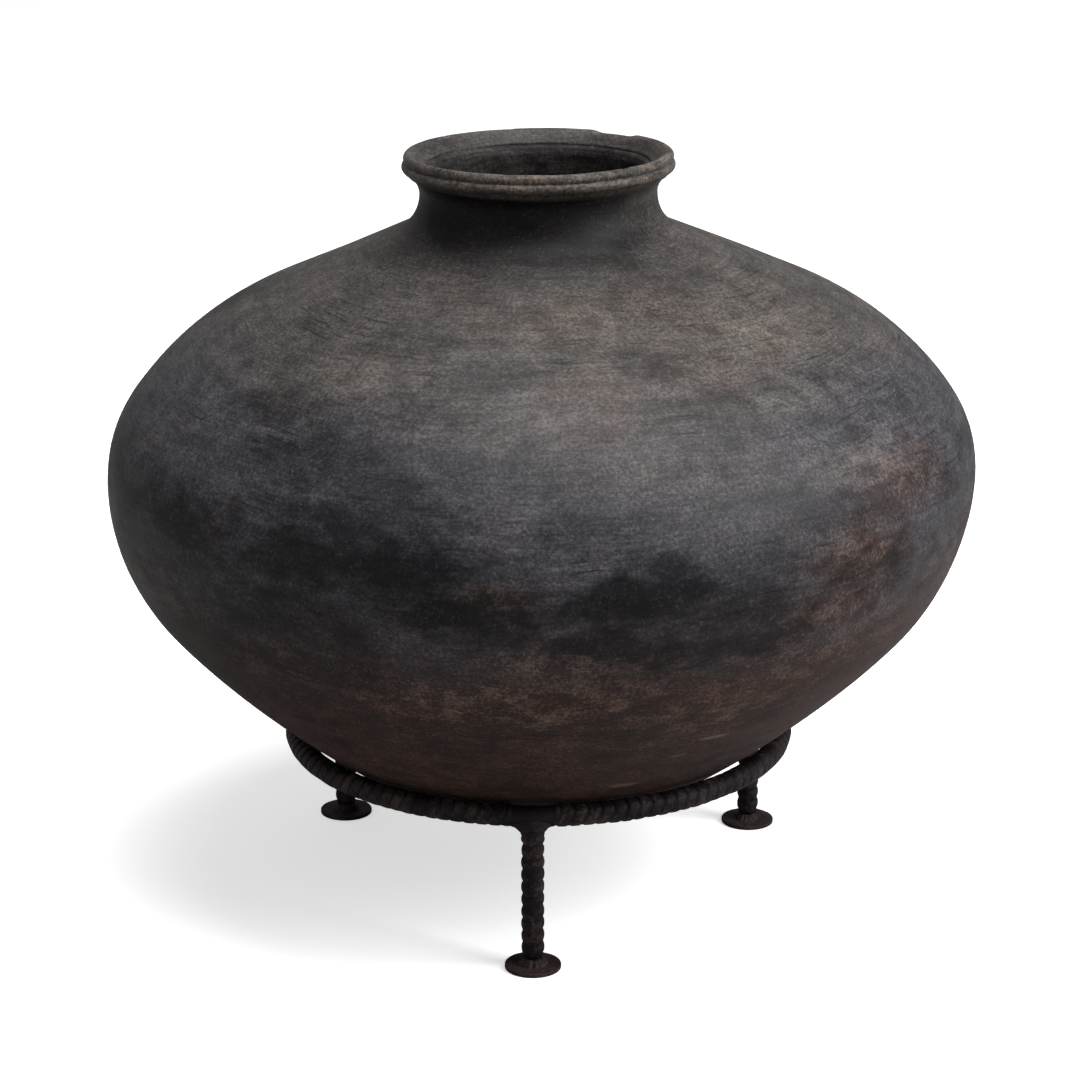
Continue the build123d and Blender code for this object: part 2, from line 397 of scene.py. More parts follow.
def spun_outline_tree():
    """A tree that spins an outline of points, radius by height, round an upright axis."""
    inputs = {GEOMETRY: ["Outline"], INT: ["Segments"], VECTOR: ["Centre"]}
    tree, given, out = geometry_group("Spun outline", inputs)
    count = tree.node("GeometryNodeAttributeDomainSize", {0: given["Outline"]}).outputs[0]
    columns = tree.add(given["Segments"], 1)
    size = {"Size X": 1.0, "Size Y": 1.0, "Vertices X": columns, "Vertices Y": count}
    sheet = tree.node("GeometryNodeMeshGrid", size).outputs[0]
    place = tree.node("GeometryNodeInputPosition").outputs[0]
    across = tree.split(place)
    angle = tree.mul(tree.add(across[0], 0.5), 2 * pi)
    row = tree.math("ROUND", tree.mul(tree.add(across[1], 0.5), tree.sub(count, 1)))

    def sampled(value, kind="FLOAT"):
        """What the outline's point has for this row."""
        inputs = {"Geometry": given["Outline"], "Value": value, "Index": row}
        settings = {"data_type": kind, "domain": "POINT"}
        return tree.node("GeometryNodeSampleIndex", inputs, **settings).outputs[0]

    for label in ("along", "inside"):
        sheet = tree.stored(sheet, label, sampled(tree.recalled(label)))
    point = tree.split(sampled(place, "FLOAT_VECTOR"))
    x = tree.mul(point[0], tree.math("COSINE", angle))
    y = tree.mul(point[0], tree.math("SINE", angle))
    placed = tree.vector("ADD", tree.joined(x, y, point[2]), given["Centre"])
    moved = tree.node("GeometryNodeSetPosition", {"Geometry": sheet, "Position": placed})
    inputs = {"Geometry": moved.outputs[0], "Distance": SEAM_DISTANCE}
    closed = tree.node("GeometryNodeMergeByDistance", inputs)
    return finished(tree, closed.outputs[0], given, out)


def hand_finish_tree(numbers):
    """A tree that takes the pot's wall out of true, as a hand-built pot is."""
    tree, given, out = geometry_group("Hand finish", {GEOMETRY: ["Pot"], FLOAT: numbers})
    place = tree.node("GeometryNodeInputPosition").outputs[0]
    x, y, z = tree.split(place)
    outward = tree.vector("NORMALIZE", tree.joined(x, y, 0))
    shifted = tree.vector("ADD", place, tree.joined(given["Seed"], 0, 0))
    even_below, neck, lip = given["Even below"], given["Neck height"], given["Lip height"]
    free = tree.ramp(z, even_below, tree.add(even_below, 0.09))
    on_neck = tree.ramp(z, tree.sub(neck, 0.03), neck)
    on_lip = tree.ramp(z, tree.sub(lip, 0.010), lip)

    def swing(vector, scale, depth, detail=1.0):
        """Noise that moves in and out by up to about that depth."""
        return tree.centred(tree.noise(vector, scale, detail), depth)

    slow = swing(shifted, tree.div(1.0, given["Wobble size"]), given["Wobble"], 0.0)
    flats = swing(tree.vector("MULTIPLY", shifted, (1, 1, 1.6)), 17.0, given["Dents"])
    rings = swing(tree.vector("MULTIPLY", shifted, (1, 1, 40)), 2.6, given["Wheel marks"], 2.0)
    edge = tree.mul(swing(shifted, 40.0, given["Rim wave"], 2.0), on_lip)
    # The foot is out of round: slimmer across, most of all on the right.
    sideways = tree.split(outward)[0]
    foot = tree.mul(tree.ramp(z, 0.058, 0.100), tree.ramp(z, 0.118, 0.190, 1, 0))
    righter = tree.math("MULTIPLY_ADD", sideways, 0.27, 1.0)
    slim = tree.mul(sideways, sideways, righter, foot, given["Seat squeeze"])
    out_by = tree.sub(tree.add(tree.mul(free, tree.add(slow, flats, rings)), edge), slim)

    lean = tree.vector("DOT_PRODUCT", outward, RIM_HIGH_SIDE)
    lean = tree.mul(lean, given["Rim lean"], on_neck)
    wave = tree.mul(swing(shifted, 22.0, given["Rim wave"], 2.0), on_lip)
    # One long chip on the far side and small ones all round, on the lip's crest only.
    crest = tree.ramp(z, tree.sub(lip, 0.0042), lip)
    towards = tree.vector("DOT_PRODUCT", outward, ring_point(radians(LONG_CHIP_ANGLE), 1.0))
    small = tree.mul(tree.ramp(tree.noise(shifted, 75.0, 3.0), 0.60, 0.70), 0.55)
    chips = tree.mul(tree.peak(tree.ramp(towards, 0.975, 0.995), small), crest, given["Chips"])
    up_by = tree.sub(tree.add(lean, wave), chips)

    # The shoulder has slumped to one side between the seat and the neck.
    slumped = tree.ramp(z, tree.sub(neck, 0.235), 0.35)
    upright_above = tree.ramp(z, 0.400, tree.sub(neck, 0.012), 1, 0)
    drift = tree.mul(slumped, upright_above, given["Shoulder drift"])
    offset = tree.vector("ADD", tree.scaled(outward, out_by), tree.joined(drift, 0, up_by))
    moved = tree.node("GeometryNodeSetPosition", {"Geometry": given["Pot"], "Offset": offset})
    return finished(tree, moved.outputs[0], given, out)


def ribbed_bar_tree(numbers):
    """A tree that runs a round bar with rolled ribs along a curve."""
    inputs = {GEOMETRY: ["Path"], FLOAT: numbers, INT: ["Around"], OBJECT: ["Weld points"]}
    tree, given, out = geometry_group("Ribbed bar", inputs)
    core, reach = given["Core radius"], given["Weld reach"]
    spline = tree.node("GeometryNodeSplineParameter").outputs
    place = tree.node("GeometryNodeInputPosition").outputs[0]
    inputs = {"Curve": given["Path"], "Length": given["Step"]}
    path = tree.node("GeometryNodeResampleCurve", inputs, mode="LENGTH").outputs[0]
    path = tree.stored(path, "distance", spline["Length"])
    path = tree.stored(path, "middle", place, "FLOAT_VECTOR")
    inputs = {"Resolution": given["Around"], "Radius": core}
    section = tree.node("GeometryNodeCurvePrimitiveCircle", inputs).outputs[0]
    section = tree.stored(section, "turn", spline["Factor"])
    inputs = {"Curve": path, "Profile Curve": section, "Fill Caps": True}
    tube = tree.node("GeometryNodeCurveToMesh", inputs).outputs[0]
    middle = tree.recalled("middle", "FLOAT_VECTOR")

    angle = tree.mul(tree.sub(tree.recalled("turn"), given["Spine turn"]), 2 * pi)
    bowed = tree.mul(given["Rib bow"], tree.math("COSINE", tree.mul(angle, 2)))
    slanted = tree.mul(given["Rib slant"], tree.math("SINE", angle))
    along = tree.add(tree.recalled("distance"), bowed, slanted)
    beat = tree.math("FRACT", tree.div(along, given["Rib pitch"]))
    from_middle = tree.math("ABSOLUTE", tree.sub(tree.mul(beat, 2), 1))
    rib = tree.sub(1, tree.math("POWER", from_middle, given["Rib flatness"]))

    # The two spines are half a turn apart: the sine is nought on both.
    off_spine = tree.mul(tree.math("ABSOLUTE", tree.math("SINE", angle)), core)
    half = tree.div(given["Spine width"], 2)
    spine = tree.ramp(off_spine, tree.mul(half, 0.7), tree.mul(half, 1.5), 1, 0)
    inputs = {"Object": given["Weld points"]}
    welds = tree.node("GeometryNodeObjectInfo", inputs).outputs["Geometry"]
    inputs = {"Geometry": welds, "Sample Position": middle}
    near = tree.node("GeometryNodeProximity", inputs, target_element="POINTS")
    bare = tree.ramp(near.outputs["Distance"], reach, tree.add(reach, 0.003))
    shifted = tree.vector("ADD", place, tree.joined(given["Seed"], 0, 0))
    worn = tree.ramp(tree.noise(shifted, 60.0, 1.0), 0.3, 0.7, 0.75, 1.0)
    tube = tree.stored(tube, "crest", tree.mul(tree.peak(rib, spine), bare, worn))

    lumps = tree.mul(tree.sub(tree.noise(place, 420.0, 2.0), 0.5), 0.00012)
    out_by = tree.math("MULTIPLY_ADD", tree.recalled("crest"), given["Rib height"], lumps)
    outward = tree.vector("NORMALIZE", tree.vector("SUBTRACT", place, middle))
    offset = tree.scaled(outward, out_by)
    moved = tree.node("GeometryNodeSetPosition", {"Geometry": tube, "Offset": offset})
    return finished(tree, moved.outputs[0], given, out)


def by_name(group):
    """A property group's values, under the names that the sidebar shows."""
    kept = (item for item in group.bl_rna.properties if item.identifier not in ("rna_type", "name"))
    return {item.name: getattr(group, item.identifier) for item in kept}


def grown(name, source, steps):
    """Runs geometry trees on a source object and keeps the result as a piece with a plain mesh."""
    for tree, values in steps:
        modifier = source.modifiers.new(tree.name, "NODES")
        modifier.node_group = tree
        for item in tree.interface.items_tree:
            if item.name in values and item.in_out == "INPUT":
                modifier[item.identifier] = values[item.name]
    depsgraph = bpy.context.evaluated_depsgraph_get()
    mesh = bpy.data.meshes.new_from_object(
        source.evaluated_get(depsgraph), preserve_all_data_layers=True, depsgraph=depsgraph
    )
    bpy.data.objects.remove(source)
    mesh.name = name
    return shown(name, mesh)


def shown(name, data):
    """A new object in the scene."""
    made = bpy.data.objects.new(name, data)
    bpy.context.scene.collection.objects.link(made)
    return made


def point_source(name, points, values=None):
    """An object of loose points, with any values that go with each."""
    mesh = bpy.data.meshes.new(name)
    mesh.from_pydata([tuple(point) for point in points], [], [])
    for label, numbers in (values or {}).items():
        mesh.attributes.new(label, "FLOAT", "POINT").data.foreach_set("value", numbers)
    return shown(name, mesh)


def path_source(name, points, closed=False):
    """An object of one plain curve through the points."""
    curve = bpy.data.curves.new(name, "CURVE")
    curve.dimensions = "3D"
    spline = curve.splines.new("POLY")
    spline.points.add(len(points) - 1)
    for target, point in zip(spline.points, points):
        target.co = (*point, 1)
    spline.use_cyclic_u = closed
    return shown(name, curve)


def settled(piece, body, slot, *nodes):
    """Ties a finished piece to its body and hides the CAD nodes it stands for; the slot is not
    used.
    """
    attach(piece, body)
    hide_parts(*nodes)


# ---------------------------------------------------------------- the pot's outline


FUNNEL_GROOVE = 0.76  # how far down the funnel its groove is turned, from 0 to 1


class Outline:
    """Points of a section, as radius and height, drawn on from the last one."""

    def __init__(self, start, heading):
        self.points = [start]
        self.heading = heading
        self.headings = [heading]

    def arc(self, radius, angle, step):
        """An arc: a positive angle turns left."""
        x, z = self.points[-1]
        side = 1 if angle > 0 else -1
        centre_x = x - side * radius * sin(self.heading)
        centre_z = z + side * radius * cos(self.heading)
        count = max(2, ceil(abs(angle) * radius / step))
        for i in range(1, count + 1):
            heading = self.heading + angle * i / count
            self.points.append(
                (centre_x + side * radius * sin(heading), centre_z - side * radius * cos(heading))
            )
            self.headings.append(heading)
        self.heading += angle

    def line(self, distance, step):
        """A straight stretch."""
        x, z = self.points[-1]
        count = max(1, ceil(distance / step))
        for i in range(1, count + 1):
            along = distance * i / count
            self.points.append((x + along * cos(self.heading), z + along * sin(self.heading)))
            self.headings.append(self.heading)

    def inset(self, depth):
        """The same points moved to the left of the way they were drawn."""
        return [
            (x - depth * sin(heading), z + depth * cos(heading))
            for (x, z), heading in zip(self.points, self.headings)
        ]


def half_outlines(sizes, step):
    """The wall from its girth up to the waist, and down to the middle of the base."""
    up = Outline((sizes.belly_radius, 0.0), radians(90))
    up.arc(sizes.above_radius, sizes.above_turn, step)
    up.arc(sizes.shoulder_radius, sizes.shoulder_turn, step)
    slope = sizes.above_turn + sizes.shoulder_turn
    neck_reach = sizes.neck_radius * (1 - cos(slope))
    up.line((up.points[-1][0] - neck_reach - sizes.waist_radius) / sin(slope), step)
    up.arc(sizes.neck_radius, -slope, step / 2)

    down = Outline((sizes.belly_radius, 0.0), radians(-90))
    down.arc(sizes.below_radius, -sizes.below_turn, step)
    down.arc(sizes.flank_radius, -sizes.flank_turn, step)
    left = radians(90) - sizes.below_turn - sizes.flank_turn
    down.arc(down.points[-1][0] / sin(left), -left, step)
    return up, down


def circle_points(centre, radius, start, end, step):
    """Points on an arc of a circle, by its angles in radians."""
    count = max(2, ceil(abs(end - start) * radius / step))
    angles = [start + (end - start) * i / count for i in range(count + 1)]
    return [(centre[0] + radius * cos(a), centre[1] + radius * sin(a)) for a in angles]


def crossing(first, first_radius, second, second_radius):
    """The outer crossing of two circles."""
    dx, dz = second[0] - first[0], second[1] - first[1]
    apart = hypot(dx, dz)
    along = (apart**2 + first_radius**2 - second_radius**2) / (2 * apart)
    across = (first_radius**2 - along**2) ** 0.5
    return (
        first[0] + (along * dx + across * dz) / apart,
        first[1] + (along * dz - across * dx) / apart,
    )


def lip_outline(sizes, waist):
    """The flare, the beads, the funnel and the throat, from the waist up and down inside."""
    fine = 0.0006
    flare = Outline(waist, radians(90))
    flare.arc(sizes.flare_radius, -sizes.flare_turn, fine * 2)
    bead = (waist[0] + sizes.bead_overhang - sizes.bead_radius, waist[1] + sizes.bead_rise)
    lip = (waist[0] + sizes.lip_overhang - sizes.lip_radius, waist[1] + sizes.lip_rise)
    groove = crossing(bead, sizes.bead_radius, lip, sizes.lip_radius)

    def angle_on(centre):
        return atan2(groove[1] - centre[1], groove[0] - centre[0])

    under = circle_points(bead, sizes.bead_radius, radians(-80), angle_on(bead), fine)
    over = circle_points(lip, sizes.lip_radius, angle_on(lip), radians(120), fine)
    throat_top = waist[1] + sizes.throat_rise + sizes.throat_length
    funnel = Outline(over[-1], 0.0)
    end = (sizes.throat_radius + 0.0016, throat_top + 0.0004)
    funnel.heading = atan2(end[1] - over[-1][1], end[0] - over[-1][0])
    reach = hypot(end[0] - over[-1][0], end[1] - over[-1][1])
    funnel.line(reach * FUNNEL_GROOVE, 0.0014)
    # A groove turned into the funnel: the smoke of the inside stops at it.
    outer_count = len(funnel.points)
    (x, z), heading = funnel.points[-1], funnel.heading
    for ahead, deep in ((0.0004, 0.0008), (0.0010, 0.0012), (0.0017, 0.0008), (0.0021, 0.0)):
        x_deep = x + ahead * cos(heading) - deep * sin(heading)
        funnel.points.append((x_deep, z + ahead * sin(heading) + deep * cos(heading)))
    funnel.line(reach * (1 - FUNNEL_GROOVE) - 0.0021, 0.0014)
    left = pi - abs(funnel.heading)
    funnel.arc(0.0022, radians(90) + (-left if funnel.heading < 0 else left), fine)
    inner = sizes.waist_radius - sizes.wall
    throat_foot = waist[1] + sizes.throat_rise
    throat = [
        (sizes.throat_radius, throat_top - 0.0022),
        (sizes.throat_radius, throat_foot),
        (inner, throat_foot - 0.0015),
    ]
    outer = flare.points[1:] + under + over[1:] + funnel.points[1:outer_count]
    return outer, funnel.points[outer_count:] + throat


def pot_outline(sizes):
    """The whole section from the middle of the base, over the lip, to the middle inside."""
    up, down = half_outlines(sizes, 0.0055)
    girth = sizes.base_height - down.points[-1][1]

    def raised(points):
        return [(x, z + girth) for x, z in points]

    outside = raised(down.points[::-1] + up.points[1:])
    coarse_up, coarse_down = half_outlines(sizes, 0.011)
    # Drawn upwards, the clay lies to the left of the outline; drawn downwards, to the right.
    inside = raised(coarse_up.inset(sizes.wall)[::-1] + coarse_down.inset(-sizes.wall)[1:])
    lip, mouth = lip_outline(sizes, outside[-1])
    return outside + lip + mouth + inside, len(outside) + len(lip)


# ---------------------------------------------------------------- shader groups


def cloud_group():
    """Tears the edges of a mesh's stored clouds: how near each one is, and how deep it is."""
    inputs = {VECTOR: ["Cloud"], FLOAT: ["Tear"]}
    tree, given, out = new_group("Torn cloud", "Shader", inputs, {FLOAT: ["Mask"]})
    near, depth, _ = tree.split(given["Cloud"])
    mask = tree.ramp(tree.sub(near, given["Tear"]), 0.30, 0.86)
    tree.feed(out.inputs["Mask"], tree.mul(mask, depth))
    return tree.tree


def streak_group():
    """Streaks left by a burnishing stone: long round the pot, short up its wall."""
    inputs = {VECTOR: ["Vector"], FLOAT: ["Rise", "Fineness", "Stretch", "Seed"]}
    tree, given, out = new_group("Burnish streaks", "Shader", inputs, {FLOAT: ["Value"]})
    x, y, _ = tree.split(given["Vector"])
    flat = tree.scaled(tree.joined(x, y, 0), given["Stretch"])
    rise = tree.mul(given["Rise"], given["Fineness"])
    stretched = tree.vector("ADD", flat, tree.joined(given["Seed"], 0, rise))
    tree.feed(out.inputs["Value"], tree.noise(stretched, 1.0, 3.0, 0.62))
    return tree.tree


def scrape_group():
    """One pale scrape on the wall, lying level."""
    inputs = {VECTOR: ["Vector", "Facing"], FLOAT: ["Height", "Length", "Thickness", "Tear"]}
    tree, given, out = new_group("Scrape", "Shader", inputs, {FLOAT: ["Mask"]})
    x, y, z = tree.split(given["Vector"])
    level = tree.joined(x, y, 0)
    across = tree.vector("CROSS_PRODUCT", level, given["Facing"])
    across = tree.div(tree.vector("LENGTH", across), given["Length"])
    up = tree.div(tree.sub(z, given["Height"]), given["Thickness"])
    away = tree.vector("LENGTH", tree.joined(across, up, given["Tear"]))
    faced = tree.ramp(tree.vector("DOT_PRODUCT", level, given["Facing"]), 0.0, 0.02)
    tree.feed(out.inputs["Mask"], tree.mul(faced, tree.ramp(away, 0.4, 1.0, 1, 0)))
    return tree.tree


def rust_group():
    """Rust over dark mill scale, paler where the surface stands up: pale dust and a painted
    highlight.
    """
    inputs = {
        VECTOR: ["Vector"],
        FLOAT: ["Crest", "Rust", "Wear"],
        COLOUR: ["Scale Colour", "Rust Colour", "Pale Colour"],
    }
    outputs = {COLOUR: ["Color"], FLOAT: ["Roughness", "Height", "Bare"]}
    tree, given, out = new_group("Rust", "Shader", inputs, outputs)
    patches = tree.noise(given["Vector"], 60.0, 4.0, 0.6)
    fine = tree.noise(given["Vector"], 520.0, 3.0, 0.65)
    grit = tree.noise(given["Vector"], 1900.0, 1.0, 0.6)
    low = tree.sub(0.85, given["Rust"])
    rusted = tree.ramp(tree.add(patches, tree.centred(fine, 0.20)), low, tree.add(low, 0.26))
    skin = tree.mixed(rusted, given["Scale Colour"], given["Rust Colour"])
    # Hollows keep their black scale, and the high spots are rubbed pale: dust, and a painted
    # highlight.
    hollow = tree.ramp(given["Crest"], 0.05, 0.60, 0.60, 0.0)
    skin = tree.mixed(hollow, skin, given["Scale Colour"])
    rubbed = tree.ramp(tree.add(patches, tree.centred(fine, 0.45)), 0.42, 0.72)
    dust_and_highlight = tree.mul(rubbed, tree.ramp(given["Crest"], 0.45, 0.95), given["Wear"])
    worn = tree.mixed(dust_and_highlight, skin, given["Pale Colour"])
    gritty = tree.ramp(grit, 0.35, 0.75, 0.0, 0.25)
    tree.feed(out.inputs["Color"], tree.mixed(gritty, worn, given["Scale Colour"]))
    rough = tree.add(tree.mul(rusted, 0.14), 0.50, tree.mul(fine, 0.16))
    tree.feed(out.inputs["Roughness"], rough)
    tree.feed(out.inputs["Height"], tree.add(tree.mul(fine, 0.7), tree.mul(grit, 0.3)))
    tree.feed(out.inputs["Bare"], tree.sub(1, rusted))
    return tree.tree


# ---------------------------------------------------------------- materials


def new_material(name, roughness=0.5):
    """A material: its tree builder and its Principled BSDF."""
    material = bpy.data.materials.new(name)
    material.use_nodes = True
    shader = material.node_tree.nodes["Principled BSDF"]
    shader.inputs["Roughness"].default_value = roughness
    return material, Tree(material.node_tree), shader


def placed_group(tree, group, inputs):
    """A node group placed in a material."""
    made = tree.node("ShaderNodeGroup", node_tree=group)
    for key, value in inputs.items():
        tree.feed(made.inputs[key], value)
    return made.outputs


def own_value(tree, name):
    """A number that the piece's own mesh carries."""
    return tree.node("ShaderNodeAttribute", attribute_name=name).outputs["Fac"]


def on_pot(angle, height, radius):
    """A point on the pot, by its direction in degrees, height and radius."""
    return (radius * cos(radians(angle)), radius * sin(radians(angle)), height)


# Patches on the pot's wall: direction, height, radius there, half sizes round and up, depth.
DARK_CLOUDS = (
    (-70, 0.391, 0.185, 0.021, 0.010, 0.42),
    (-60, 0.372, 0.212, 0.030, 0.006, 0.30),
    (-97, 0.385, 0.195, 0.040, 0.006, 0.25),
    (-119, 0.349, 0.243, 0.050, 0.012, 0.50),
    (-135, 0.360, 0.235, 0.060, 0.010, 0.40),
    (-109, 0.328, 0.260, 0.040, 0.015, 0.45),
    (-112, 0.316, 0.266, 0.050, 0.018, 0.60),
    (-107, 0.294, 0.273, 0.060, 0.020, 0.85),
    (-99, 0.264, 0.273, 0.052, 0.018, 0.90),
    (-122, 0.290, 0.274, 0.060, 0.024, 0.80),
    (-140, 0.292, 0.274, 0.070, 0.024, 0.75),
    (-165, 0.285, 0.274, 0.110, 0.030, 0.75),
    (-78, 0.276, 0.275, 0.050, 0.021, 0.90),
    (-81, 0.248, 0.272, 0.045, 0.016, 0.80),
    (-67, 0.243, 0.270, 0.070, 0.020, 0.80),
    (-61, 0.262, 0.274, 0.050, 0.018, 0.60),
    (-54, 0.310, 0.268, 0.045, 0.014, 0.45),
    (-128, 0.245, 0.271, 0.090, 0.030, 0.72),
    (-118, 0.220, 0.262, 0.060, 0.018, 0.50),
    (-146, 0.200, 0.250, 0.120, 0.045, 0.70),
    (-100, 0.185, 0.240, 0.060, 0.010, 0.40),
    (-66, 0.150, 0.210, 0.060, 0.014, 0.18),
    (15, 0.300, 0.272, 0.150, 0.022, 0.70),
    (60, 0.255, 0.272, 0.120, 0.035, 0.85),
    (105, 0.330, 0.258, 0.090, 0.030, 0.75),
    (140, 0.270, 0.274, 0.130, 0.032, 0.85),
    (80, 0.395, 0.180, 0.045, 0.014, 0.60),
    (170, 0.380, 0.200, 0.050, 0.014, 0.50),
)
BROWN_PATCHES = (
    (-95, 0.277, 0.275, 0.030, 0.010, 0.55),
    (-86, 0.236, 0.269, 0.060, 0.014, 0.70),
    (-92, 0.205, 0.255, 0.110, 0.024, 0.85),
    (-47, 0.279, 0.275, 0.050, 0.028, 0.75),
    (-50, 0.250, 0.272, 0.060, 0.026, 0.70),
    (-52, 0.220, 0.262, 0.080, 0.026, 0.65),
    (-68, 0.186, 0.241, 0.080, 0.024, 0.65),
    (-126, 0.222, 0.264, 0.050, 0.018, 0.55),
    (-150, 0.245, 0.271, 0.060, 0.020, 0.50),
    (-36, 0.312, 0.268, 0.050, 0.024, 0.45),
    (-84, 0.407, 0.146, 0.055, 0.012, 0.26),
    (-62, 0.412, 0.135, 0.040, 0.008, 0.24),
    (-52, 0.400, 0.165, 0.035, 0.008, 0.20),
    (-60, 0.383, 0.197, 0.040, 0.010, 0.18),
    (-10, 0.250, 0.272, 0.100, 0.030, 0.70),
    (35, 0.215, 0.260, 0.100, 0.030, 0.70),
    (90, 0.220, 0.262, 0.120, 0.030, 0.70),
    (155, 0.215, 0.260, 0.110, 0.026, 0.60),
    (120, 0.400, 0.165, 0.060, 0.014, 0.45),
)
# Pale patches high on the shoulder: partly pale clay, partly a painted highlight.
DUSTY_AND_HIGHLIGHT_PATCHES = (
    (-80, 0.383, 0.197, 0.060, 0.012, 0.40),
    (-110, 0.376, 0.210, 0.050, 0.010, 0.55),
    (-121, 0.378, 0.207, 0.040, 0.012, 0.50),
    (-38, 0.392, 0.171, 0.060, 0.016, 0.60),
    (-50, 0.366, 0.225, 0.060, 0.010, 0.40),
    (-90, 0.364, 0.227, 0.090, 0.014, 0.45),
    (-42, 0.330, 0.256, 0.070, 0.016, 0.50),
    (-70, 0.340, 0.250, 0.080, 0.014, 0.35),
    (20, 0.375, 0.210, 0.070, 0.016, 0.55),
    (100, 0.372, 0.212, 0.080, 0.016, 0.55),
    (150, 0.350, 0.242, 0.080, 0.014, 0.45),
)
CLOUDS = {"smoke": DARK_CLOUDS, "brown": BROWN_PATCHES, "dust_and_highlight": DUSTY_AND_HIGHLIGHT_PATCHES}


def store_clouds(mesh, name, patches):
    """Stores how near and how deep the nearest patch is at each of the mesh's points."""
    points = numpy.empty(len(mesh.vertices) * 3)
    mesh.vertices.foreach_get("co", points)
    points = points.reshape(-1, 3)
    nearest, depths, weights = (numpy.zeros(len(points)) for _ in range(3))
    for angle, height, radius, wide, tall, depth in patches:
        offset = (points - on_pot(angle, height, radius)) / (wide, wide, tall)
        near = numpy.clip(1 - numpy.sqrt((offset**2).sum(axis=1)) / 2, 0, 1)
        nearest = numpy.maximum(nearest, near)
        depths += depth * near**3
        weights += near**3
    depths /= numpy.maximum(weights, 1e-6)
    values = numpy.stack([nearest, depths, numpy.zeros(len(points))], axis=1)
    stored = mesh.attributes.new(name, "FLOAT_VECTOR", "POINT")
    stored.data.foreach_set("vector", values.ravel())


# Pale scrapes low on the wall: direction, height, length, thickness and depth.
SCRAPES = (
    (-61.5, 0.1640, 0.0130, 0.0017, 0.75),
    (-66.0, 0.1500, 0.0090, 0.0012, 0.35),
    (-73.0, 0.1230, 0.0120, 0.0030, 0.40),
    (40.0, 0.1800, 0.0160, 0.0014, 0.55),
)


